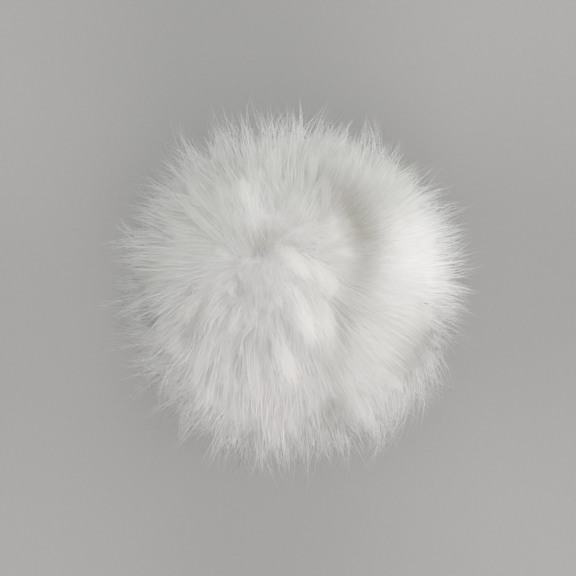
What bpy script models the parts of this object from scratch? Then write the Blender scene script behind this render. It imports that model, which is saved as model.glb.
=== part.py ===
"""A round white fur pom pom, lying on a surface with its best side up.

Metres, +Z up. The origin is the middle of the flat spot that the ball rests on. Seen from
above with +Y at the top, +X is the right-hand side of the ball.

The ball is one solid: a lumpy core, which is the dense underfur, with the pointed locks of
longer hair fused to it at their roots. Every lock grows from one triangle of the core.
"""

import math
import random
from collections import namedtuple

import bmesh
import bpy
from mathutils import Vector, noise

# Driving sizes
CENTRE_HEIGHT = 0.0335  # the ball's middle above the surface; its weight presses it down a little
UNDERFUR_RADIUS = 0.0358  # the dense underfur, out to where the locks part from each other
FLAT_RADIUS = 0.0135  # the flat spot under the ball
LOCK_LENGTH = 0.0085  # a usual lock, past the underfur
SHORTEST_LOCK = 0.0030  # under the ball, where the locks are pressed against the surface
LOCK_SPREAD = 0.28  # how much longer or shorter one lock is than the next, as a share
RESTING_TIP = 0.0013  # a tip closer to the surface than this lies on it

# How the locks are laid out
RIM_CORNERS = 12  # corners of the flat spot
CORE_CORNERS = 151  # the core's other corners, which make two locks each
CORNER_JITTER = 0.035  # radians
CLEAR_OF_RIM = 0.045  # how far the lowest of them are above the flat spot's rim, in radii
CORNER_SEED = 6
LOCK_SEED = 12

# A lock, from its root to its tip: where it is cut along its length, and how wide it is there,
# as a share of the triangle that it grows from
Section = namedtuple("Section", "share width")
LOCK_SECTIONS = (
    Section(0.00, 0.84),
    Section(0.20, 0.56),
    Section(0.45, 0.36),
    Section(0.74, 0.19),
    Section(1.00, 0.00),
)

# How the hair lies: it parts near the top and is combed away from there
PARTING = Vector((-0.11, 0.31, 0.94)).normalized()
COMBED = 0.34  # radians that a lock leans, where it leans most
COMBED_AT = 0.70  # radians from the parting, where it leans most
WAVES = 0.10  # radians, the unevenness of the combing
WAVE_PITCH = 2.3  # waves for each ball radius
WAVE_SEED = 2
STRAY = 0.025  # radians that one lock leaves its neighbours
BEND = 1.5  # a lock leans as this power of the share of its length, so it starts out straight
PRESSED_FROM = -0.35  # height in radii below which the resting surface starts to press the hair
PRESSED_TO = -0.80  # height in radii below which it lies as the surface has it
TURN_SOFTNESS = 0.07  # radians over which hair turns aside from the surface

# Main swells and dents of the fur: the way to each from the ball's middle as (x, y, up), its
# width in radians, and its height
Swell = namedtuple("Swell", "middle width height")
SWELLS = (
    Swell(Vector((0.86, 0.16, 0.45)), 0.50, 0.0022),  # full right-hand side
    Swell(Vector((0.62, 0.55, 0.50)), 0.35, 0.0010),
    Swell(Vector((0.10, 0.02, 0.99)), 0.33, 0.0016),  # swept tuft in the middle
    Swell(Vector((-0.45, 0.55, 0.65)), 0.40, 0.0008),
    Swell(Vector((-0.25, -0.70, 0.60)), 0.45, 0.0010),
    Swell(Vector((0.36, 0.47, 0.80)), 0.17, -0.0042),  # furrow beside the right-hand side, from
    Swell(Vector((0.50, 0.22, 0.84)), 0.17, -0.0036),  # its top end to its bottom end
    Swell(Vector((0.52, -0.06, 0.85)), 0.17, -0.0030),
    Swell(Vector((0.60, -0.30, 0.72)), 0.17, -0.0016),
    Swell(Vector((0.93, -0.36, 0.05)), 0.22, -0.0020),  # notch low on the right
    Swell(Vector((-0.98, -0.10, 0.10)), 0.45, -0.0010),  # flatter left-hand side
    Swell(Vector((-0.30, -0.90, -0.30)), 0.40, 0.0008),
    Swell(Vector((0.40, 0.80, -0.40)), 0.40, 0.0008),
)

FUR_COLOUR = (0.86, 0.85, 0.82, 1.0)
FUR_ROUGHNESS = 0.9

WELD = 1e-6  # the three corners of a lock's tip become one


def underfur_radius(way):
    """Distance from the ball's middle to the top of the underfur, in this direction."""
    radius = UNDERFUR_RADIUS
    for swell in SWELLS:
        radius += swell.height * math.exp(-((way.angle(swell.middle) / swell.width) ** 2))
    return radius


def pressed(way):
    """How far the resting surface decides the way the hair lies: 0 is not at all, 1 is all."""
    share = (PRESSED_FROM - way.z) / (PRESSED_FROM - PRESSED_TO)
    return min(1.0, max(0.0, share))


def combing(way):
    """The lean of the hair at its tip, as a vector along the ball's surface, in radians."""
    angle = way.angle(PARTING)
    lean = COMBED * angle / COMBED_AT * math.exp(1 - angle / COMBED_AT)
    flow = (way - way.dot(PARTING) * PARTING).normalized() * lean
    wave = noise.noise_vector(way * WAVE_PITCH) * WAVES
    return (flow + wave - wave.dot(way) * way) * (1 - pressed(way))


def clear_of_the_surface(way, radius):
    """The direction turned away from straight down, so that a point this far out stays up.

    The turn is a soft one, so locks that lie on the surface stay in their order, a little apart.
    """
    if radius <= CENTRE_HEIGHT:
        return way
    lowest = math.acos(CENTRE_HEIGHT / radius)
    above = (way.angle(Vector((0, 0, -1))) - lowest) / TURN_SOFTNESS
    turned = lowest + TURN_SOFTNESS * math.log1p(math.exp(above))
    outward = Vector((way.x, way.y, 0)).normalized()
    return outward * math.sin(turned) - Vector((0, 0, math.cos(turned)))


def lock_length(way):
    """A usual lock's length here: shorter the more the surface presses it."""
    return LOCK_LENGTH + (SHORTEST_LOCK - LOCK_LENGTH) * pressed(way)


def point_of_a_lock(way, share, length):
    """A point of the hair that is rooted in this direction, at this share of its length."""
    leaning = (way + combing(way) * share**BEND).normalized()
    radius = underfur_radius(way) + length * share
    return clear_of_the_surface(leaning, radius) * radius + Vector((0, 0, CENTRE_HEIGHT))


def turned_about_z(angle, out, up):
    return Vector((out * math.cos(angle), out * math.sin(angle), up))


def core_directions():
    """Directions of the core's corners: the flat spot's rim, then a spiral up to the top."""
    rim_slant = math.hypot(CENTRE_HEIGHT, FLAT_RADIUS)
    rim_up = -CENTRE_HEIGHT / rim_slant
    rim_out = FLAT_RADIUS / rim_slant
    directions = [
        turned_about_z(math.tau * k / RIM_CORNERS, rim_out, rim_up) for k in range(RIM_CORNERS)
    ]
    golden_angle = math.pi * (3 - math.sqrt(5))
    first_up = rim_up + CLEAR_OF_RIM
    jitter = random.Random(CORNER_SEED)
    for k in range(CORE_CORNERS):
        up = first_up + (1 - first_up) * (k + 0.5) / CORE_CORNERS
        moved = Vector([jitter.uniform(-CORNER_JITTER, CORNER_JITTER) for _ in range(3)])
        way = turned_about_z(k * golden_angle, math.sqrt(1 - up * up), up) + moved
        directions.append(way.normalized())
    return directions


def is_bare(face):
    """True in the flat spot, and on the strip of triangles that shares its edges."""
    return sum(corner.index < RIM_CORNERS for corner in face.verts) > 1


def grow_locks(bm, faces, corner_way, lock_number):
    """Extrudes each of these faces of the unit ball into one lock that narrows to a point."""
    jitter = random.Random(LOCK_SEED)
    locks = []
    for number, face in enumerate(faces):
        face[lock_number] = number
        middle = face.calc_center_median().normalized()
        free = 1 - pressed(middle)
        length = lock_length(middle) * (1 + LOCK_SPREAD * free * jitter.uniform(-1, 1))
        stray = Vector([jitter.uniform(-STRAY, STRAY) for _ in range(3)]) * free
        locks.append((middle, length, stray))
    for section in LOCK_SECTIONS:
        faces = bmesh.ops.extrude_discrete_faces(bm, faces=faces)["faces"]
        for face in faces:
            middle, length, stray = locks[face[lock_number]]
            for vertex in face.verts:
                way = middle.lerp(vertex[corner_way], section.width) + stray * section.share
                vertex.co = point_of_a_lock(way.normalized(), section.share, length)
    tips = [vertex for face in faces for vertex in face.verts]
    for tip in tips:
        if tip.co.z < RESTING_TIP:
            tip.co.z = 0
    bmesh.ops.remove_doubles(bm, verts=tips, dist=WELD)


def fur_material():
    material = bpy.data.materials.new("white_rabbit_fur")
    material.use_nodes = True
    shader = material.node_tree.nodes["Principled BSDF"]
    shader.inputs["Base Color"].default_value = FUR_COLOUR
    shader.inputs["Roughness"].default_value = FUR_ROUGHNESS
    shader.inputs["Metallic"].default_value = 0.0
    return material


def fur_ball():
    """The core's corners are hulled on the unit ball, locks grow there, and then it takes its size."""
    bm = bmesh.new()
    corner_way = bm.verts.layers.float_vector.new("corner_way")
    lock_number = bm.faces.layers.int.new("lock_number")
    for way in core_directions():
        bm.verts.new(way)[corner_way] = way
    bmesh.ops.convex_hull(bm, input=bm.verts[:])
    bm.verts.index_update()
    core_corners = bm.verts[:]
    lock_faces = [face for face in bm.faces if not is_bare(face)]
    lock_faces.sort(key=lambda face: sorted(corner.index for corner in face.verts))
    grow_locks(bm, lock_faces, corner_way, lock_number)
    for corner in core_corners:
        way = corner[corner_way]
        if corner.index < RIM_CORNERS:
            corner.co = Vector((way.x, way.y, 0)).normalized() * FLAT_RADIUS
        else:
            corner.co = point_of_a_lock(way, 0, 0)
    bmesh.ops.triangulate(bm, faces=bm.faces[:])
    mesh = bpy.data.meshes.new("fur_ball")
    bm.to_mesh(mesh)
    bm.free()
    mesh.materials.append(fur_material())
    ball = bpy.data.objects.new("fur_ball", mesh)
    bpy.context.scene.collection.objects.link(ball)


def main():
    for old in list(bpy.data.objects):
        bpy.data.objects.remove(old)
    noise.seed_set(WAVE_SEED)
    fur_ball()


main()
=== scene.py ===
import bpy
import numpy as np
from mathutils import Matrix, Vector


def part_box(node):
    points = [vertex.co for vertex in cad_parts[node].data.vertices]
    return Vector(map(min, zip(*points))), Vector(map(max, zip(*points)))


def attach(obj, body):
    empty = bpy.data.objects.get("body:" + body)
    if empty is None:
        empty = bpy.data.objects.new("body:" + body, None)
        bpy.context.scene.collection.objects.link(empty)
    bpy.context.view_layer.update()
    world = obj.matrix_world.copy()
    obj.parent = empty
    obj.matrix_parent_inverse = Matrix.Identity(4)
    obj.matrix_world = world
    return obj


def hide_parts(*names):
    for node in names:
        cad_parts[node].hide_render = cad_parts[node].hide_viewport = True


# A round white rabbit fur pom pom, lying on a pale floor with its best side up.
# +X is the picture's right-hand side, +Y is its top, and the camera looks straight down.

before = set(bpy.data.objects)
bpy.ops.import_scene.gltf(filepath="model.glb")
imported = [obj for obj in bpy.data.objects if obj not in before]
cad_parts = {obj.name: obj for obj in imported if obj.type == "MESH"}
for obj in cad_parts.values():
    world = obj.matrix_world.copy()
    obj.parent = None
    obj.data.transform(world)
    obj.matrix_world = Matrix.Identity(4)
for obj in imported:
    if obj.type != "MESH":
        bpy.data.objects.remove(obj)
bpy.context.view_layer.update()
mm = 0.001

# The ball as the solids give it: their tips reach as far as the long hairs do
solidLow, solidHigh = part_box("fur_ball")
reach = (solidHigh.x - solidLow.x + solidHigh.y - solidLow.y) / 4
ball = {
    "middleHeight": solidHigh.z - reach,
    "underfur": reach - 12.4 * mm,  # the dense underfur, where hairs stand too close to part
    "parting": (-0.11, 0.31, 0.94),  # the hair lies away from here
}

# Main swells and dents of the fur: the way there from the middle of the ball as (x, y, up),
# the width in radians, and the height in mm
swells = [
    ((0.86, 0.16, 0.45), 0.50, 2.0),  # full right-hand side
    ((0.70, 0.60, 0.30), 0.40, 2.2),  # and above it
    ((0.10, 0.02, 0.99), 0.33, 1.6),  # swept tuft in the middle
    ((-0.45, 0.55, 0.65), 0.40, 0.8),
    ((-0.25, -0.70, 0.60), 0.45, 1.0),
    ((0.41, 0.57, 0.71), 0.15, -2.6),  # furrow beside the right-hand side, from
    ((0.49, 0.42, 0.76), 0.14, -2.6),  # its top end to its bottom end
    ((0.48, 0.24, 0.84), 0.13, -2.2),
    ((0.44, 0.07, 0.90), 0.12, -2.0),
    ((0.38, -0.10, 0.92), 0.11, -1.6),
    ((0.32, -0.28, 0.91), 0.10, -1.0),
    ((0.93, -0.36, 0.05), 0.22, -2.0),  # notch low on the right
    ((-0.98, -0.10, 0.10), 0.45, 0.3),  # full left-hand side
    ((-0.30, -0.90, -0.30), 0.40, 0.8),
    ((0.40, 0.80, -0.40), 0.40, 0.8),
    ((-0.17, 0.31, 0.935), 0.11, -1.3),  # small hollow where the hair parts
    ((0.86, 0.50, 0.05), 0.18, 0.9),  # uneven tufts round the outline
    ((0.26, 0.96, 0.05), 0.20, -1.0),
    ((-0.57, 0.81, 0.05), 0.20, 1.5),
    ((-0.90, 0.42, 0.05), 0.16, -1.2),
    ((-0.96, -0.26, 0.05), 0.15, -0.8),
    ((-0.86, -0.50, 0.10), 0.20, -1.8),
    ((-0.70, -0.70, 0.05), 0.20, -1.8),
    ((0.33, -0.94, 0.10), 0.13, -1.2),
    ((0.10, -0.99, 0.05), 0.14, 1.2),
    ((-0.42, -0.88, 0.20), 0.18, 1.0),
]

# Tufts that are swept their own way: where they lie, how wide they are in radians, the way that
# they sweep as (right, up) in the picture, and how far, in radians
sweeps = [
    ((-0.23, 0.47, 0.85), 0.24, (-0.15, 1.00), 0.21),  # above the parting
    ((0.11, 0.06, 0.99), 0.26, (0.84, -0.55), 0.23),  # in the middle, down to the right
    ((0.06, -0.13, 0.99), 0.24, (0.44, -0.90), 0.25),
    ((0.00, -0.42, 0.91), 0.22, (0.39, -0.92), 0.28),
    ((-0.18, -0.60, 0.78), 0.24, (0.04, -1.00), 0.27),
    ((-0.30, -0.19, 0.93), 0.25, (-0.10, -1.00), 0.20),
    ((-0.50, -0.40, 0.77), 0.22, (-0.35, -0.94), 0.26),
    ((0.80, 0.28, 0.53), 0.45, (1.00, 0.10), 0.03),  # the full right-hand side stands up straight
    ((0.41, 0.76, 0.50), 0.35, (0.30, 1.00), 0.08),  # and so does the upper right
    ((0.48, 0.30, 0.82), 0.23, (1.00, -0.20), 0.04),  # furrow
    ((0.74, -0.62, 0.25), 0.42, (0.50, -0.87), 0.12),  # combed down, low on the right
]

# Painted light and shade: how much brighter or darker the fur is painted in one place than in
# another, standing in for the light on its full sides and the shade in its furrow, hollows and
# gaps, from the way it lies: the way there, the width in radians, and the step in tone
paintedLightAndShade = [
    ((0.41, 0.57, 0.71), 0.16, -0.26),  # furrow, from its top end to its bottom end
    ((0.49, 0.43, 0.76), 0.13, -0.16),
    ((0.48, 0.25, 0.84), 0.14, -0.16),
    ((0.44, 0.08, 0.89), 0.13, -0.18),
    ((0.38, -0.05, 0.92), 0.10, -0.16),
    ((0.34, -0.17, 0.92), 0.09, -0.16),
    ((0.32, -0.32, 0.89), 0.09, -0.20),
    ((0.27, -0.50, 0.82), 0.09, -0.20),
    ((0.27, -0.74, 0.62), 0.15, -0.26),
    ((0.26, 0.66, 0.70), 0.18, -0.22),  # dull between the top and the upper right
    ((0.12, 0.80, 0.58), 0.15, -0.12),  # top
    ((0.62, 0.58, 0.53), 0.20, -0.14),  # dull upper right
    ((0.83, 0.26, 0.49), 0.38, 0.26),  # full right-hand side
    ((0.70, -0.50, 0.50), 0.16, -0.10),  # lower right edge
    ((0.83, -0.33, 0.45), 0.20, -0.22),
    ((-0.24, 0.50, 0.83), 0.12, 0.18),  # above the parting
    ((-0.18, 0.31, 0.93), 0.12, -0.22),  # hollow
    ((-0.95, -0.05, 0.30), 0.30, -0.18),  # left
    ((-0.72, 0.62, 0.32), 0.35, -0.10),  # upper left
    ((-0.83, -0.48, 0.28), 0.20, -0.16),  # lower left
    ((-0.45, 0.80, 0.40), 0.16, -0.12),
    ((0.05, -0.45, 0.89), 0.30, 0.06),  # swept down, below the middle
    ((-0.30, -0.75, 0.58), 0.40, 0.08),
    ((-0.22, -0.86, 0.46), 0.12, -0.16),  # along the bottom
    ((0.31, -0.84, 0.45), 0.12, -0.18),
    ((-0.38, -0.37, 0.85), 0.07, -0.10),  # gaps between the locks
    ((-0.14, -0.39, 0.91), 0.07, -0.10),
    ((-0.04, -0.25, 0.97), 0.07, -0.12),
    ((0.14, -0.39, 0.91), 0.06, -0.14),
]

# How the hair lies, and how that is shaded
lay = {
    "combed": 0.27,  # radians from root to tip, where it leans most
    "combedFrom": 0.34,  # radians from the parting, over which the leaning sets in
    "swellShading": 0.8,  # how strongly the swells and dents are shaded
    "leanShading": 0.6,  # how strongly a tuft's own lean is shaded
    "softNormals": 0.98,  # how far a hair is shaded as the ball behind it
    "dentDepth": 4 * mm,  # in a dent as deep as this the hair is shortest
    "pressedFrom": -0.75,  # heights in ball radii between which the floor comes to press the hair
    "pressedTo": -0.95,
    "turnSoftness": 0.07,  # radians over which hair turns aside from the floor
    "floorGap": 0.03 * mm,
}

# Where the fur is smooth instead: the way there, the width in radians, and how smooth from 0 to 1
smoothZones = [
    ((0.85, 0.20, 0.48), 0.55, 0.95),  # full right-hand side
    ((0.41, 0.77, 0.48), 0.35, 0.65),  # upper right
    ((0.47, 0.28, 0.84), 0.27, 0.90),  # furrow
    ((-0.77, 0.04, 0.63), 0.32, 0.60),  # left
    ((0.58, -0.54, 0.61), 0.42, 0.80),  # lower right
    ((-0.22, 0.18, 0.96), 0.24, 0.70),  # round the parting
]


def unit(vectors):
    # each vector divided by its own length
    return vectors / np.linalg.norm(vectors, axis=-1, keepdims=True)


def alongSurface(vectors, ways):
    # each vector less its part along the way out of the ball
    return vectors - (vectors * ways).sum(-1, keepdims=True) * ways


def sideways(ways):
    # a direction along the surface: square to the way out and to one fixed slant
    return unit(np.cross(ways, (0.31, 0.17, 0.93)))


def angleFrom(ways, middle):
    # the angle between each way and the middle's way
    return np.arccos(np.clip(ways @ unit(np.array(middle, float)), -1, 1))


def nearTo(ways, middle, width):
    # 1 at the middle's way, and less round it: exp(-(angle / width)^2)
    return np.exp(-((angleFrom(ways, middle) / width) ** 2))


def underfurRadius(ways):
    # the underfur's radius, and for each swell its height times exp(-(angle / width)^2)
    radius = np.full(ways.shape[:-1], ball["underfur"])
    for middle, width, height in swells:
        radius += height * mm * nearTo(ways, middle, width)
    return radius


def shade(ways):
    # painted light and shade: for each listed place, its step in tone times exp(-(angle / width)^2)
    tone = np.zeros(len(ways))
    for middle, width, step in paintedLightAndShade:
        tone += step * nearTo(ways, middle, width)
    return tone


def outOfSwells(ways):
    # the way out of the swelling surface: the way itself, less the slope of the radius, which is
    # measured over a small step in two directions along the surface
    step = 0.01
    side = sideways(ways)
    radius = underfurRadius(ways)
    slope = np.zeros_like(ways)
    for across in (side, np.cross(ways, side)):
        further = underfurRadius(unit(ways + across * step))
        slope += across * ((further - radius) / (step * radius))[..., None]
    return unit(ways - slope * lay["swellShading"])


def hairFlow(ways):
    # the lean from root to tip, along the surface: away from the parting by
    # combed * (1 - exp(-angle / combedFrom)) * cos(angle), and each sweep takes over by
    # exp(-(angle / width)^2) where it lies
    parting = unit(np.array(ball["parting"]))
    angle = angleFrom(ways, parting)
    size = lay["combed"] * (1 - np.exp(-angle / lay["combedFrom"])) * np.cos(angle)
    away = unit(alongSurface(-parting + 1e-6, ways))
    flow = away * size[..., None]
    for middle, width, (right, up), far in sweeps:
        share = nearTo(ways, middle, width)[..., None]
        swept = unit(alongSurface(np.array((right, up, 0.0)), ways)) * far
        flow = flow * (1 - share) + swept * share
    return flow


def clearOfFloor(ways, radius):
    # the angle from straight down becomes lowest + soft * log(1 + exp((angle - lowest) / soft)),
    # where a point this far out would touch the floor at the angle called lowest
    height = ball["middleHeight"] - lay["floorGap"]
    lowest = np.arccos(np.minimum(1, height / radius))
    soft = lay["turnSoftness"]
    above = (np.arccos(np.clip(-ways[..., 2], -1, 1)) - lowest) / soft
    turned = lowest + soft * np.logaddexp(0, above)
    level = unit(ways * (1, 1, 0) + (1e-9, 0, 0))
    clear = level * np.sin(turned)[..., None] - np.sin(np.pi / 2 - turned)[..., None] * (0, 0, 1)
    return np.where((radius > height)[..., None], clear, ways)


def spiralWays(count):
    # a golden-angle spiral from the bottom of the unit ball to its top, evenly spread
    step = np.arange(count)
    up = -1 + (2 * step + 1) / count
    turn = step * np.pi * (3 - np.sqrt(5))
    out = np.sqrt(1 - up * up)
    return np.stack([out * np.cos(turn), out * np.sin(turn), up], 1)


def discAround(ways, spread, random):
    # a random point of a disc on the surface: spread * sqrt(random) out, any way round
    side = sideways(ways)
    onward = np.cross(ways, side)
    out = spread * np.sqrt(random.random(len(ways)))
    turn = 2 * np.pi * random.random(len(ways))
    return (side * np.cos(turn)[:, None] + onward * np.sin(turn)[:, None]) * out[:, None]


def tufted(ways):
    # 1 where the hair is drawn into tufts, less smooth * exp(-(angle / width)^2) in each zone
    share = np.ones(len(ways))
    for middle, width, smooth in smoothZones:
        share -= smooth * nearTo(ways, middle, width)
    return np.clip(share, 0, 1)


def nearest(ways, middles):
    # The number of the middle that is nearest to each way. Only a middle at about the same height
    # can be, so the ways are compared in blocks, each with the middles at its own heights.
    blocks = 60
    margin = 5 / np.sqrt(len(middles))
    found = []
    for block in np.array_split(ways, blocks):
        low, high = block[:, 2].min() - margin, block[:, 2].max() + margin
        near = np.flatnonzero((middles[:, 2] > low) & (middles[:, 2] < high))
        found.append(near[np.argmax(block @ middles[near].T, 1)])
    return np.concatenate(found)


def standOut(count, random):
    # few hairs stand out far: random numbers of about 1 on average, mostly small, none over 4
    return np.minimum(random.exponential(1, count), 4)


# The hair stands in tufts of tufts. For each level of them, a kind of hair has settings for how
# many grow in each tuft of the level above, how far a tip is drawn to the middle of its tuft, how
# uneven the tufts are in lean (radians), length and tone, and how much each one is shaded as a
# round lock. A share of the hairs is loose, in no tuft.
def growTufts(hair):
    # The roots of each level are spread evenly over the ball, and each is in the tuft of the
    # nearest one in the level above. A tip is its root, drawn a share of the way back to the
    # middle of each tuft that it is in, and leant as they lean. The loose hairs stay above their
    # roots. Towards the sides the tufts fade by smoothSides * (1 - up).
    random = np.random.default_rng(hair["seed"])
    middles = np.array([[0.0, 0.0, 1.0]])
    tips = middles.copy()
    leans = np.zeros_like(middles)
    lengths = np.zeros(1)
    tones = np.zeros(1)
    bulges = np.zeros_like(middles)
    count = 1
    for level in hair["levels"]:
        spread = 2 / np.sqrt(count)  # how far one of these tufts reaches
        count *= level["each"]
        roots = spiralWays(count)
        roots = unit(roots + discAround(roots, 2 / np.sqrt(count), random))
        tuft = nearest(roots, middles)
        moved = roots - middles[tuft]
        grown = (tips, leans, lengths, tones, bulges)
        tips, leans, lengths, tones, bulges = (kept[tuft] for kept in grown)
        middles = roots
        drawn = tufted(roots + hairFlow(roots))
        drawn = drawn * (1 - hair["smoothSides"] * (1 - np.clip(roots[:, 2], 0, 1)))
        tips = tips + moved * (1 - level["pull"] * drawn)[:, None]
        uneven = 0.2 + 0.8 * drawn  # smooth fur is a little uneven too
        leans = leans + level["lean"] * random.normal(0, 1, roots.shape) * uneven[:, None]
        out = np.minimum((moved**2).sum(1) / spread**2, 1)  # 0 in a tuft's middle, 1 at its edge
        longer = standOut(len(roots), random) - 1 - out
        lengths = lengths + level["length"] * longer * uneven
        tones = tones + level["tone"] * random.normal(0, 1, len(roots)) * uneven
        bulges = bulges + level["round"] * moved / spread * uneven[:, None]
    isLoose = random.random(len(roots))[:, None] < hair["loose"]
    tips = np.where(isLoose, roots, tips)
    leans = alongSurface(np.where(isLoose, 0, leans), roots)
    return roots, unit(tips), leans, lengths, tones, bulges + leans * lay["leanShading"]


def pointsOfHairs(roots, tips, lean, rootRadius, tipRadius, shares, bend):
    # at each share s of a hair: the way is root + (tip + lean - root) * s^bend, and the radius
    # goes evenly from the root's to the tip's
    share = np.array(shares)[None, :, None]
    ways = roots[:, None] + (tips + lean - roots)[:, None] * share**bend
    radius = rootRadius[:, None] * (1 - share[..., 0]) + tipRadius[:, None] * share[..., 0]
    ways = clearOfFloor(unit(ways), radius)
    return ways * radius[..., None] + (0, 0, ball["middleHeight"])


def fillMesh(mesh, vertices, faces):
    # puts whole arrays of points and triangles into an empty mesh, shaded smooth
    mesh.vertices.add(len(vertices))
    mesh.vertices.foreach_set("co", np.ascontiguousarray(vertices, np.float32).ravel())
    mesh.loops.add(faces.size)
    mesh.loops.foreach_set("vertex_index", faces.astype(np.int32).ravel())
    mesh.polygons.add(len(faces))
    mesh.polygons.foreach_set("loop_start", np.arange(len(faces), dtype=np.int32) * 3)
    mesh.update(calc_edges=True)
    mesh.validate()
    mesh.shade_smooth()


hairMap = "OFBake"  # the export bakes a piece through its map of this name


def hairMesh(name, points, widths, tones, outwards):
    # Each hair is a closed three-sided spike: three corners round each of its points but the
    # last, which is its tip. The corners stand at width / 2 from the point, 120 degrees apart,
    # and the side between the first two looks out of the fur.
    hairs, rings = points.shape[0], points.shape[1] - 1
    along = unit(np.gradient(points, axis=1)[:, :rings])
    side = unit(np.cross(along, outwards[:, None]))
    over = np.cross(side, along)
    turn = np.pi * (1 / 6 + np.arange(3) * 2 / 3)
    spoke = side[:, :, None] * np.cos(turn)[:, None] + over[:, :, None] * np.sin(turn)[:, None]
    corners = points[:, :rings, None] + spoke * (widths[:, :, None, None] / 2)
    each = rings * 3 + 1
    vertices = np.concatenate([corners.reshape(hairs, -1, 3), points[:, rings:]], 1)
    faces = []
    for ring in range(rings):
        for corner in range(3):
            a = ring * 3 + corner
            b = ring * 3 + (corner + 1) % 3
            if ring < rings - 1:
                faces += [(a, b + 3, b), (a, a + 3, b + 3)]
            else:
                faces += [(a, each - 1, b)]
    faces += [(0, 1, 2)]
    faces = (np.array(faces)[None] + (np.arange(hairs) * each)[:, None, None]).reshape(-1, 3)
    mesh = bpy.data.meshes.new(name)
    fillMesh(mesh, vertices.reshape(-1, 3), faces)

    # The map runs along the hair one way and by its tone the other way, and the three corners are
    # a little apart on it, so that none of its triangles is empty
    apart = np.tile([-0.004, 0, 0.004], rings)
    share = np.repeat(np.arange(rings) / rings, 3) + np.tile([0, 0.02, 0], rings)
    mapped = np.ones((hairs, each, 2))
    mapped[:, :-1, 0] = share
    mapped[:, :, 1] = tones[:, None]
    mapped[:, :-1, 1] += apart
    layer = mesh.uv_layers.new(name=hairMap)
    layer.uv.foreach_set("vector", mapped.reshape(-1, 2)[faces.ravel()].astype(np.float32).ravel())

    # Fur scatters light among its hairs, so a hair is shaded partly as the ball behind it
    soft = lay["softNormals"]
    normals = np.concatenate([spoke.reshape(hairs, -1, 3), along[:, -1:]], 1)
    normals = unit(normals * (1 - soft) + outwards[:, None] * soft)
    mesh.normals_split_custom_set_from_vertices(normals.reshape(-1, 3))
    return mesh


def addPiece(mesh, material):
    mesh.materials.append(material)
    piece = bpy.data.objects.new(mesh.name, mesh)
    bpy.context.scene.collection.objects.link(piece)
    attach(piece, "root")
    return piece


def linearColour(hexColour):
    # an sRGB hex value as linear red, green and blue
    parts = np.array([int(hexColour[k : k + 2], 16) for k in (1, 3, 5)]) / 255
    linear = np.where(parts <= 0.04045, parts / 12.92, ((parts + 0.055) / 1.055) ** 2.4)
    return (*linear.tolist(), 1.0)


def addNode(material, kind, settings=None, links=None):
    # adds one node: settings are its own values or its inputs' values, and links feed its inputs
    tree = material.node_tree
    node = tree.nodes.new(kind)
    for name, value in (settings or {}).items():
        if isinstance(name, str) and hasattr(node, name):
            setattr(node, name, value)
        else:
            node.inputs[name].default_value = value
    for name, socket in (links or {}).items():
        tree.links.new(socket, node.inputs[name])
    return node


def setRamp(node, stops):
    # stops are (place, hex colour)
    ramp = node.color_ramp
    while len(ramp.elements) < len(stops):
        ramp.elements.new(0.5)
    for element, (place, hexColour) in zip(ramp.elements, stops):
        element.position = place
        element.color = linearColour(hexColour)


def newMaterial(name, settings):
    material = bpy.data.materials.new(name)
    material.use_nodes = True
    shader = material.node_tree.nodes["Principled BSDF"]
    for socket, value in settings.items():
        shader.inputs[socket].default_value = value
    return material, shader


# White rabbit hair, undyed: keratin with a hollow core, which makes it bright, soft and dull
whiteHair = {
    "shader": {
        "Roughness": 0.62,
        "IOR": 1.45,
        "Specular IOR Level": 0.25,
        "Sheen Weight": 0.25,
        "Sheen Roughness": 0.5,
    },
    # by tone, from the darkest, which painted shade gives the hairs that lie deep, to the
    # brightest, and then the yellowed ones
    "whiteTones": (0.01, 0.74),
    "yellowedTones": (0.80, 0.99),
    "tones": [
        (0.00, "#B5B4B0"),
        (0.36, "#DDDDDA"),
        (0.74, "#FFFFFE"),
        (0.80, "#DCD9CB"),
        (1.00, "#C8C3AD"),
    ],
    # painted light: the roots are painted brighter than the tips, to lift the shade that falls deep
    # in the fur
    "paintedLightAlongHair": [(0.0, "#FFFFFF"), (0.5, "#F8F8F7"), (1.0, "#EEEEED")],  # from root to tip
}


def hairMaterial():
    material, shader = newMaterial("white_rabbit_hair", whiteHair["shader"])
    place = addNode(material, "ShaderNodeUVMap", {"uv_map": hairMap})
    parts = addNode(material, "ShaderNodeSeparateXYZ", links={"Vector": place.outputs["UV"]})
    tone = addNode(material, "ShaderNodeValToRGB", links={"Fac": parts.outputs["Y"]})
    setRamp(tone, whiteHair["tones"])
    # painted light along each hair, brighter at the root to lift the shade deep in the fur
    along = addNode(material, "ShaderNodeValToRGB", links={"Fac": parts.outputs["X"]})
    setRamp(along, whiteHair["paintedLightAlongHair"])
    colour = addNode(
        material,
        "ShaderNodeMix",
        {"data_type": "RGBA", "blend_type": "MULTIPLY", 0: 1.0},
        {6: tone.outputs["Color"], 7: along.outputs["Color"]},
    )
    material.node_tree.links.new(colour.outputs[2], shader.inputs["Base Color"])
    return material


# Dense underfur: hairs of about 0.02 mm that stand too close to tell apart, so it shows as soft
# streaks that follow them. The streaks are drawn 2 mm wide with finer ones in them, which is
# coarser than the hair, to show. Its tone carries painted light and shade, as the hair over it
# does: painted darker in the hollows, and a little darker than the hair, as painted shade for lying
# under it.
underfurLook = {
    "shader": {
        "Roughness": 0.9,
        "IOR": 1.45,
        "Specular IOR Level": 0.1,
        "Sheen Weight": 0.3,
        "Sheen Roughness": 0.6,
    },
    "streakWidth": 2 * mm,
    "streakLength": 6 * mm,
    "tones": [(0.00, "#AEADAA"), (0.36, "#D7D7D5"), (0.74, "#F6F6F5")],
    "streaks": [(0.25, "#F3F3F2"), (0.75, "#FFFFFF")],
    "tone": 0.44,
}


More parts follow.
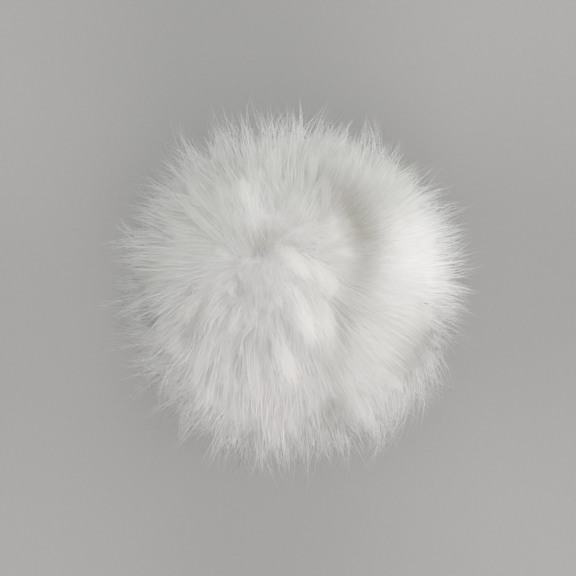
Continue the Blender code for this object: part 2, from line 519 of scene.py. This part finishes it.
def underfurMaterial():
    material, shader = newMaterial("dense_underfur", underfurLook["shader"])
    along = addNode(material, "ShaderNodeAttribute", {"attribute_name": "hair_lay"})
    streaks = addNode(
        material,
        "ShaderNodeTexNoise",
        {"Scale": 1.0, "Detail": 3.0, "Roughness": 0.6},
        {"Vector": along.outputs["Vector"]},
    )
    streak = addNode(material, "ShaderNodeValToRGB", links={"Fac": streaks.outputs["Fac"]})
    setRamp(streak, underfurLook["streaks"])
    # the underfur's tone, with the painted light and shade of each place
    paintedShadingTone = addNode(material, "ShaderNodeAttribute", {"attribute_name": "fur_tone_with_painted_shading"})
    tone = addNode(material, "ShaderNodeValToRGB", links={"Fac": paintedShadingTone.outputs["Fac"]})
    setRamp(tone, underfurLook["tones"])
    colour = addNode(
        material,
        "ShaderNodeMix",
        {"data_type": "RGBA", "blend_type": "MULTIPLY", 0: 1.0},
        {6: tone.outputs["Color"], 7: streak.outputs["Color"]},
    )
    bump = addNode(
        material,
        "ShaderNodeBump",
        {"Strength": 0.3, "Distance": 0.3 * mm},
        {"Height": streaks.outputs["Fac"]},
    )
    material.node_tree.links.new(colour.outputs[2], shader.inputs["Base Color"])
    material.node_tree.links.new(bump.outputs["Normal"], shader.inputs["Normal"])
    return material


# The surface of the underfur, under all the hair
underfur = {
    "rows": 90,  # from the parting to the point opposite it
    "columns": 180,
    "ridges": 0.5 * mm,  # low ridges along the hair
    "ridgeSets": [(31, 0.3), (47, 1.9), (73, 4.1)],  # how many go round the ball, and their phase
}


def makeUnderfur():
    # A grid over the ball: one way is the angle from the parting, the other is the turn round
    # it. The radius is the underfur's, and each set of ridges adds its share of their height times
    # sin(count * turn + phase + 3 * sin(2.3 * angle + phase)) * sin(angle)^2.
    rows, columns = underfur["rows"], underfur["columns"]
    axis = unit(np.array(ball["parting"]))
    across = unit(np.cross(axis, (0, 1, 0)))
    third = np.cross(axis, across)
    angle = np.pi * np.arange(1, rows) / rows
    turn = 2 * np.pi * np.arange(columns) / columns
    angle, turn = np.meshgrid(angle, turn, indexing="ij")
    fromAxis = across * np.cos(turn)[..., None] + third * np.sin(turn)[..., None]
    ways = axis * np.cos(angle)[..., None] + fromAxis * np.sin(angle)[..., None]
    ways = np.concatenate([axis[None], ways.reshape(-1, 3), -axis[None]])
    angle = np.concatenate([[0], angle.ravel(), [np.pi]])
    turn = np.concatenate([[0], turn.ravel(), [0]])
    radius = underfurRadius(ways)
    for count, phase in underfur["ridgeSets"]:
        wave = np.sin(count * turn + phase + 3 * np.sin(2.3 * angle + phase))
        radius += underfur["ridges"] / len(underfur["ridgeSets"]) * wave * np.sin(angle) ** 2
    points = ways * radius[:, None] + (0, 0, ball["middleHeight"])

    # two triangles for each cell of the grid, with the corners a, b over c, d, and a fan of them
    # at each end
    row = np.arange(rows - 2)[:, None] * columns + 1
    column = np.arange(columns)[None]
    following = (column + 1) % columns
    a, b = row + column, row + following
    c, d = a + columns, b + columns
    last = len(ways) - 1
    top = np.stack(np.broadcast_arrays(0, 1 + column, 1 + following), -1)
    bottom = np.stack(
        np.broadcast_arrays(last, last - columns + following, last - columns + column), -1
    )
    bands = [np.stack([a, c, b], -1), np.stack([b, c, d], -1), top, bottom]
    faces = np.concatenate([band.reshape(-1, 3) for band in bands])
    mesh = bpy.data.meshes.new("underfur")
    fillMesh(mesh, points, faces)

    # Streak coordinates: round the parting in steps of a streak's width, and along the hair
    layer = mesh.attributes.new("hair_lay", "FLOAT_VECTOR", "POINT")
    roundScale = ball["underfur"] / underfurLook["streakWidth"]
    alongScale = ball["underfur"] / underfurLook["streakLength"]
    coordinates = np.stack(
        [np.cos(turn) * roundScale, np.sin(turn) * roundScale, angle * alongScale], 1
    )
    layer.data.foreach_set("vector", coordinates.astype(np.float32).ravel())
    # Its tone: the base tone plus the painted light and shade of each place, darker in the hollows
    layer = mesh.attributes.new("fur_tone_with_painted_shading", "FLOAT", "POINT")
    tone = np.clip(underfurLook["tone"] + shade(ways), 0.01, 0.99)
    layer.data.foreach_set("value", tone.astype(np.float32))
    return mesh


# The fine hairs, from their roots in the underfur to their tips
fineHair = {
    "seed": 4,
    "levels": [
        {"each": 260, "pull": 0.00, "lean": 0.035, "length": 0.3 * mm, "tone": 0.5, "round": 0.00},
        {"each": 6, "pull": 0.35, "lean": 0.045, "length": 0.3 * mm, "tone": 0.8, "round": 0.24},
        {"each": 6, "pull": 0.75, "lean": 0.010, "length": 0.5 * mm, "tone": 0.1, "round": 0.10},
        {"each": 18, "pull": 0.60, "lean": 0.005, "length": 0.2 * mm, "tone": 0.0, "round": 0.00},
    ],
    "loose": 0.28,  # share of the hairs that is in no tuft
    "smoothSides": 0.6,  # by this share the tufts fade towards the sides
    "rootDepth": 1.0 * mm,
    "length": 3.2 * mm,  # how far a usual tip stands above the underfur
    "shortest": 1.2 * mm,
    "dented": 0.5,  # by up to this share it is shorter in a dent
    "sideShorter": 1.8 * mm,  # at the sides all are shorter by this
    "sideSpread": 1.2 * mm,  # and stand out again by about this, or a few by more, for a soft edge
    "pressedLength": 1.6 * mm,  # under the ball
    "width": 0.10 * mm,
    "unevenWidth": (0.7, 1.3),
    "pieces": ("fur_1", "fur_2", "fur_3", "fur_4", "fur_5"),
    "shadowPieces": 1,  # only these cast shadows, because most light passes through fine fur
    "tone": 0.48,
    "unevenTone": 0.03,
    # painted shade: a hair is painted darker the deeper it lies in the fur, and brighter the
    # further it stands out
    "paintedDepthShadeByLength": 0.03 / mm,  # a hair that stands out is brighter than one deep in the fur
}

# Faint yellowed patches: the way there, the width in radians, and the share of yellowed hairs
yellowed = [
    ((0.40, 0.56, 0.73), 0.11, 0.45),  # beside the furrow
    ((0.51, 0.40, 0.76), 0.11, 0.75),
    ((-0.02, 0.40, 0.92), 0.05, 0.35),  # near the parting
    ((-0.18, 0.31, 0.93), 0.07, 0.30),
]


def pressed(ways):
    # how far the floor presses the hair: evenly from 0 at pressedFrom to 1 at pressedTo
    start, end = lay["pressedFrom"], lay["pressedTo"]
    return np.clip((start - ways[:, 2]) / (start - end), 0, 1)


def isYellowed(ways, random):
    # by chance, which is the sum of share * exp(-(angle / width)^2) over the patches
    chance = np.zeros(len(ways))
    for middle, width, share in yellowed:
        chance += share * nearTo(ways, middle, width)
    return random.random(len(ways)) < chance


def midHair(roots, tips):
    # the way over the part of a hair that shows most: 0.4 of its root and 0.6 of its tip
    return unit(roots * 0.4 + tips * 0.6)


def makeFineHair(material):
    # A hair goes straight from its root, rootDepth under the top of the underfur, to its tip. The
    # tip stands above the underfur by the length, which is less in a dent and under the ball.
    roots, tips, leans, lengths, tones, bulges = growTufts(fineHair)
    random = np.random.default_rng(fineHair["seed"] + 1)
    free = 1 - pressed(roots)
    lean = (hairFlow(roots) + leans) * free[:, None]
    length = fineHair["length"] * free + fineHair["pressedLength"] * (1 - free)
    sides = (1 - np.clip(roots[:, 2], 0, 1)) * free
    further = fineHair["sideSpread"] * standOut(len(roots), random)
    lengths = lengths + (further - fineHair["sideShorter"]) * sides
    length = np.maximum(length + lengths * free, fineHair["shortest"])
    rootRadius = underfurRadius(roots) - fineHair["rootDepth"]
    swell = underfurRadius(unit(tips + lean)) - ball["underfur"]
    dent = np.clip(-swell / lay["dentDepth"], 0, 1)
    tipRadius = ball["underfur"] + swell + length * (1 - fineHair["dented"] * dent)
    points = pointsOfHairs(roots, tips, lean, rootRadius, tipRadius, (0, 1), 1)
    widths = fineHair["width"] * random.uniform(*fineHair["unevenWidth"], (len(roots), 1))
    over = midHair(roots, tips + lean)
    # The tone takes the painted light and shade of the place where the hair shows most, and the
    # painted shade of lying deep
    band = fineHair["tone"] + fineHair["unevenTone"] * tones + shade(over)
    band += fineHair["paintedDepthShadeByLength"] * lengths
    band = np.clip(band, *whiteHair["whiteTones"])
    isOld = isYellowed(over, random)
    band = np.where(isOld, random.uniform(*whiteHair["yellowedTones"], len(roots)), band)
    outwards = unit(outOfSwells(unit(tips + lean)) + bulges)
    pieces = fineHair["pieces"]
    for number, name in enumerate(pieces):
        part = np.arange(number, len(roots), len(pieces))
        mesh = hairMesh(name, points[part], widths[part], band[part], outwards[part])
        piece = addPiece(mesh, material)
        piece.visible_shadow = number < fineHair["shadowPieces"]


# The locks that show best from above
topLocks = {
    "seed": 21,
    "hairs": 7,  # for each square mm of a lock's length times half its width
    "width": 0.10 * mm,
    "unevenWidth": (0.7, 1.3),
    "taper": (1, 0.9),
    "aside": 0.55,  # how far a usual hair is to one side, in halves of the lock's width
    "mostAside": 1.5,
    "starts": 0.45,  # a hair starts within this share of the lock's length
    "ends": 0.5,  # and by up to this share it ends before the lock does
    "rounded": 0.2,  # and by this share sooner still, if it is at the lock's edge
    "stray": 0.026,  # radians that a hair's end strays from its lock
    "rise": 0.3 * mm,  # how far a lock's crest stands above the fine hair
    "dome": 1.3 * mm,  # how far its edges lie below its crest
    "deeper": 1.4 * mm,  # by up to this, one of its hairs lies deeper than the next
    "sunk": 3.0 * mm,  # how deep its hairs start
    "point": 0.80,  # by this share it is narrower at its point
    "round": 0.42,  # how strongly it is shaded as a round lock
    "tone": 0.36,  # hair that lies flat catches more light than hair that stands up
    "unevenTone": 0.015,
    # how far a lock takes the painted light and shade of the fur round it
    "paintedLightAndShade": 0.5,  # how far it is shaded as the fur round it
}

# Where each lock comes out of the fur and where its point is, as (right, up) in mm from the
# ball's middle, half its width in mm, and its step in tone, which is painted light on the locks
# that catch most of it
lockPlaces = [
    ((-7.4, 13.9), (-11.1, 26.3), 1.8, 0.16),  # above the parting
    ((-10.9, 6.5), (-24.5, 21.0), 1.2, 0.03),  # long ones to the upper left
    ((-12.0, 10.2), (-16.4, 27.7), 0.9, 0.02),
    ((7.4, 14.3), (8.1, 27.3), 1.2, 0.00),
    ((-2.8, 21.5), (-4.6, 33.5), 1.1, 0.05),  # at the top
    ((4.2, 22.5), (6.2, 33.0), 1.0, 0.03),
    ((-15.5, 14.8), (-23.5, 25.5), 1.2, 0.05),
    ((6.0, 9.7), (11.1, 17.3), 1.6, 0.04),  # over the furrow
    ((5.1, 9.2), (12.6, 13.0), 1.8, 0.05),
    ((5.1, 7.9), (17.0, 8.5), 1.4, 0.05),
    ((-3.7, 11.6), (6.0, 0.2), 2.6, 0.09),  # swept down to the right, in the middle
    ((1.4, 9.7), (11.8, -2.3), 2.4, 0.11),
    ((-0.9, 2.3), (6.9, -14.8), 2.6, 0.14),
    ((3.7, 1.8), (11.1, -13.9), 2.1, 0.10),
    ((-4.2, -7.4), (2.5, -23.6), 2.0, 0.12),
    ((-9.0, -8.3), (-6.5, -26.3), 1.7, 0.05),  # swept straight down
    ((-11.8, -0.9), (-12.7, -12.9), 1.4, 0.08),
    ((-7.6, 0.0), (-7.4, -10.2), 0.7, 0.06),
    ((-13.4, -9.2), (-14.1, -23.6), 0.8, 0.04),
    ((-17.1, -7.4), (-21.7, -22.6), 2.3, 0.06),
    ((-19.9, 3.2), (-23.6, -9.2), 2.1, 0.02),
    ((12.0, -12.5), (27.3, -23.1), 1.2, 0.06),  # lower right
    ((17.6, -10.2), (23.1, -15.2), 0.9, 0.06),
    ((9.5, -16.5), (17.5, -30.0), 1.4, 0.03),
    ((-1.6, -21.7), (1.8, -33.7), 1.2, 0.04),  # along the bottom
    ((-10.9, -24.9), (-12.5, -35.6), 1.2, 0.03),
    ((-5.1, -24.5), (-3.7, -34.6), 1.0, 0.02),
]


def wayAbove(places, radius):
    # the way out of the ball's middle to the point that is seen at each place from above
    flat = np.array(places) * mm / radius
    up = np.sqrt(np.maximum(1 - (flat**2).sum(-1), 0.01))
    return np.concatenate([flat, up[..., None]], -1)


def makeTopLocks(material):
    # A hair of a lock keeps to one side of its axis by a share of half its width, called aside. At
    # s along the lock, the lock is 1 - point * s^2 of its width, and its crest stands at
    # rise * sin(pi * s^0.6) above the fine hair, less dome * aside^2 for a hair at its edge.
    random = np.random.default_rng(topLocks["seed"])
    outer = ball["underfur"] + fineHair["length"]
    rootPlaces, tipPlaces, halves, paintedLightSteps = (np.array(part) for part in zip(*lockPlaces))
    far = np.linalg.norm(tipPlaces - rootPlaces, axis=1)
    counts = (topLocks["hairs"] * far * halves).astype(int)
    starts = np.repeat(wayAbove(rootPlaces, outer), counts, 0)
    ends = np.repeat(wayAbove(tipPlaces, outer), counts, 0)
    half = np.repeat(halves * mm / outer, counts)
    count = len(starts)
    most = topLocks["mostAside"]
    aside = np.clip(random.normal(0, topLocks["aside"], count), -most, most)
    first = random.uniform(0, topLocks["starts"], count)
    last = 1 - topLocks["rounded"] * np.abs(aside) - topLocks["ends"] * random.random(count) ** 1.5
    shares = first[:, None] + (last - first)[:, None] * np.array((0, 0.5, 1))
    across = unit(np.cross(unit(ends - starts), starts))
    stray = random.normal(0, topLocks["stray"], (count, 3))
    ways = starts[:, None] + (ends - starts)[:, None] * shares[..., None]
    narrowed = (aside * half)[:, None] * (1 - topLocks["point"] * shares**2)
    ways = unit(ways + across[:, None] * narrowed[..., None] + stray[:, None] * shares[..., None])
    crest = topLocks["rise"] * np.sin(np.pi * shares**0.6) - topLocks["dome"] * aside[:, None] ** 2
    crest -= topLocks["sunk"] * np.array((1, 0, 0))
    crest -= topLocks["deeper"] * random.random((count, 1)) ** 1.5
    radius = underfurRadius(ways) + fineHair["length"] + crest
    points = ways * radius[..., None] + (0, 0, ball["middleHeight"])
    uneven = random.uniform(*topLocks["unevenWidth"], (count, 1))
    widths = topLocks["width"] * uneven * np.array(topLocks["taper"])
    over = ways[:, 2]
    # painted light and shade: each lock's painted light step, and a share of the fur's painted
    # light and shade round it
    band = topLocks["tone"] + np.repeat(paintedLightSteps, counts) + topLocks["paintedLightAndShade"] * shade(over)
    band += random.normal(0, topLocks["unevenTone"], count)
    band = np.clip(band, *whiteHair["whiteTones"])
    outwards = unit(outOfSwells(over) + across * (aside * topLocks["round"])[:, None])
    piece = addPiece(hairMesh("locks", points, widths, band, outwards), material)
    piece.visible_shadow = False


# The long guard hairs, bent and scattered among the others
guardHair = {
    "seed": 9,
    "levels": [
        {"each": 380, "pull": 0.00, "lean": 0.045, "length": 0.8 * mm, "tone": 1.0, "round": 0.0},
        {"each": 4, "pull": 0.30, "lean": 0.045, "length": 2.2 * mm, "tone": 0.8, "round": 0.2},
        {"each": 7, "pull": 0.85, "lean": 0.018, "length": 0.9 * mm, "tone": 0.3, "round": 0.2},
    ],
    "loose": 0,
    "smoothSides": 0,
    "combed": 1.1,  # they lie over this many times as far as the fine hair
    "rootDepth": 0.8 * mm,
    "length": 11.2 * mm,
    "shorter": 4.5 * mm,  # by up to this, one hair is shorter than the next
    "longer": [  # the way there, the width in radians, and how much longer in mm
        ((0.80, -0.60, 0.05), 0.30, 2.0),
        ((-0.99, 0.10, 0.10), 0.45, 1.8),
        ((-0.70, -0.70, 0.05), 0.35, 1.5),
        ((-0.70, 0.70, 0.05), 0.35, 0.8),
        ((0.00, 0.99, 0.10), 0.40, 0.6),
        ((0.75, 0.65, 0.05), 0.40, -2.2),
    ],
    # the way to each place where they curl, its width in radians, the way that they curl as
    # (right, up), and how far, in radians
    "curls": [
        ((0.82, -0.55, 0.10), 0.34, (0.25, -1.00), 0.24),
    ],
    # by these shares they are shorter on top, where they lie among the others, where the fur is
    # smooth there, and in a dent there
    "hidden": 0.15,
    "smoothed": 0.35,
    "dented": 0.7,
    "width": 0.32 * mm,
    "unevenWidth": (0.5, 1.1),
    "thinner": 0.65,  # by up to this share they are thinner on top
    "taper": (1, 0.8, 0.5),
    "brighter": 0.05,  # step in tone over the fine hair
    "longest": 48.5 * mm,  # from the middle of the ball
    "shares": (0, 0.4, 0.7, 1),
    "bend": 1.7,
    "pieces": ("guard_hair_low", "guard_hair_high"),
}


def makeGuardHair(material):
    # Made as the fine hair is, but each hair is bent: it leans by share^bend of its lean
    roots, tips, leans, lengths, tones, bulges = growTufts(guardHair)
    random = np.random.default_rng(guardHair["seed"] + 1)
    free = 1 - pressed(roots)
    lean = hairFlow(roots) * guardHair["combed"] + leans
    for middle, width, (right, up), far in guardHair["curls"]:
        share = nearTo(roots, middle, width)[:, None]
        lean = lean + unit(alongSurface(np.array((right, up, 0.0)), roots)) * far * share
    lean = lean * free[:, None]
    length = guardHair["length"] + lengths - random.uniform(0, guardHair["shorter"], len(roots))
    for middle, width, longer in guardHair["longer"]:
        length += longer * mm * nearTo(roots, middle, width)
    onTop = np.clip(roots[:, 2] * 2 - 0.2, 0, 1)  # from 0 near the sides to 1 from 0.6 up
    length = length * (1 - guardHair["hidden"] * onTop)
    length = length * (1 - guardHair["smoothed"] * (1 - tufted(roots)) * onTop)
    swell = underfurRadius(unit(tips + lean)) - ball["underfur"]
    dent = np.clip(-swell / lay["dentDepth"], 0, 1) * onTop
    length = length * (1 - guardHair["dented"] * dent) * free
    length = np.maximum(length + fineHair["pressedLength"] * (1 - free), fineHair["shortest"])
    rootRadius = underfurRadius(roots) - guardHair["rootDepth"]
    tipRadius = np.minimum(ball["underfur"] + swell + length, guardHair["longest"])
    points = pointsOfHairs(
        roots, tips, lean, rootRadius, tipRadius, guardHair["shares"], guardHair["bend"]
    )
    widths = guardHair["width"] * random.uniform(*guardHair["unevenWidth"], (len(roots), 1))
    widths = widths * (1 - guardHair["thinner"] * np.clip(roots[:, 2:], 0, 1))
    widths = widths * np.array(guardHair["taper"])
    band = fineHair["tone"] + fineHair["unevenTone"] * tones + guardHair["brighter"]
    # painted light and shade of the place where the hair shows most
    band = np.clip(band + shade(midHair(roots, tips + lean)), *whiteHair["whiteTones"])
    outwards = unit(outOfSwells(unit(tips + lean)) + bulges)
    pieces = guardHair["pieces"]
    for name, part in zip(pieces, np.array_split(np.arange(len(roots)), len(pieces))):
        mesh = hairMesh(name, points[part], widths[part], band[part], outwards[part])
        piece = addPiece(mesh, material)
        piece.visible_shadow = False


print("underfur")
body = addPiece(makeUnderfur(), underfurMaterial())
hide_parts("fur_ball")

print("fine hair")
hairLook = hairMaterial()
makeFineHair(hairLook)

print("locks")
makeTopLocks(hairLook)

print("guard hair")
makeGuardHair(hairLook)

# The floor: a plain pale sheet of paper, a little darker than the fur
studio = {
    "floorSize": 1.8,
    "paper": [(0.0, "#A9A9A7"), (1.0, "#AFAFAD")],
    "grain": 0.9 / mm,  # 0.9 grains for each mm, coarser than real paper's, to show
    "worldColour": "#FFFFFF",
    "worldStrength": 0.34,
}


def makeFloor():
    half = studio["floorSize"] / 2
    corners = np.array([(-half, -half, 0), (half, -half, 0), (half, half, 0), (-half, half, 0)])
    mesh = bpy.data.meshes.new("floor")
    fillMesh(mesh, corners, np.array([(0, 1, 2), (0, 2, 3)]))
    material, shader = newMaterial("matt_paper", {"Roughness": 0.9, "Specular IOR Level": 0.1})
    place = addNode(material, "ShaderNodeTexCoord")
    grain = addNode(
        material,
        "ShaderNodeTexNoise",
        {"Scale": studio["grain"], "Detail": 2.0},
        {"Vector": place.outputs["Object"]},
    )
    tint = addNode(material, "ShaderNodeValToRGB", links={"Fac": grain.outputs["Fac"]})
    setRamp(tint, studio["paper"])
    material.node_tree.links.new(tint.outputs["Color"], shader.inputs["Base Color"])
    mesh.materials.append(material)
    floor = bpy.data.objects.new("floor", mesh)
    bpy.context.scene.collection.objects.link(floor)


# Soft boxes, all turned to where the ball rests: place and size in metres, watts and colour
softBoxes = [
    {"name": "right", "place": (0.80, 0.12, 0.22), "size": 0.6, "watts": 3.1, "colour": "#FFFFFE"},
    {"name": "front", "place": (0.05, -0.10, 0.95), "size": 0.9, "watts": 1.5, "colour": "#FFF5F9"},
    {"name": "left", "place": (-0.75, -0.05, 0.45), "size": 0.7, "watts": 2.5, "colour": "#FEFFFF"},
    {"name": "low", "place": (0.20, -0.75, 0.40), "size": 0.7, "watts": 3.1, "colour": "#FFFBFD"},
    {"name": "high", "place": (0.10, 0.75, 0.40), "size": 0.7, "watts": 2.7, "colour": "#FEFFFF"},
]


def addLights():
    world = bpy.data.worlds.new("studio")
    world.use_nodes = True
    background = world.node_tree.nodes["Background"]
    background.inputs["Color"].default_value = linearColour(studio["worldColour"])
    background.inputs["Strength"].default_value = studio["worldStrength"]
    bpy.context.scene.world = world
    for box in softBoxes:
        light = bpy.data.lights.new(box["name"], "AREA")
        light.shape = "DISK"
        light.size = box["size"]
        light.energy = box["watts"]
        light.color = linearColour(box["colour"])[:3]
        lamp = bpy.data.objects.new(box["name"], light)
        lamp.location = box["place"]
        lamp.rotation_euler = lamp.location.to_track_quat("Z", "Y").to_euler()
        bpy.context.scene.collection.objects.link(lamp)


# The photograph shows the ball face on, and one of its pixels is 0.231 mm there
view = {
    "pixels": 576,
    "pixel": 0.231 * mm,
    "ballPixel": (290, 290),  # where the ball's middle is in the picture
    "lens": 135,  # mm, on Blender's sensor of 36 mm
    "sensor": 36,
    "outlineHeight": 34 * mm,  # the height at which the ball's outline lies
}


def addCamera():
    lens = bpy.data.cameras.new("camera")
    lens.lens = view["lens"]
    camera = bpy.data.objects.new("camera", lens)
    right = (view["pixels"] / 2 - view["ballPixel"][0]) * view["pixel"]
    up = (view["ballPixel"][1] - view["pixels"] / 2) * view["pixel"]
    away = view["pixels"] * view["pixel"] * view["lens"] / view["sensor"]
    camera.location = (right, up, view["outlineHeight"] + away)
    bpy.context.scene.collection.objects.link(camera)
    bpy.context.scene.camera = camera


print("floor, lights and camera")
makeFloor()
addLights()
addCamera()
bpy.context.scene.view_settings.view_transform = "Standard"
bpy.context.scene.cycles.diffuse_bounces = 8
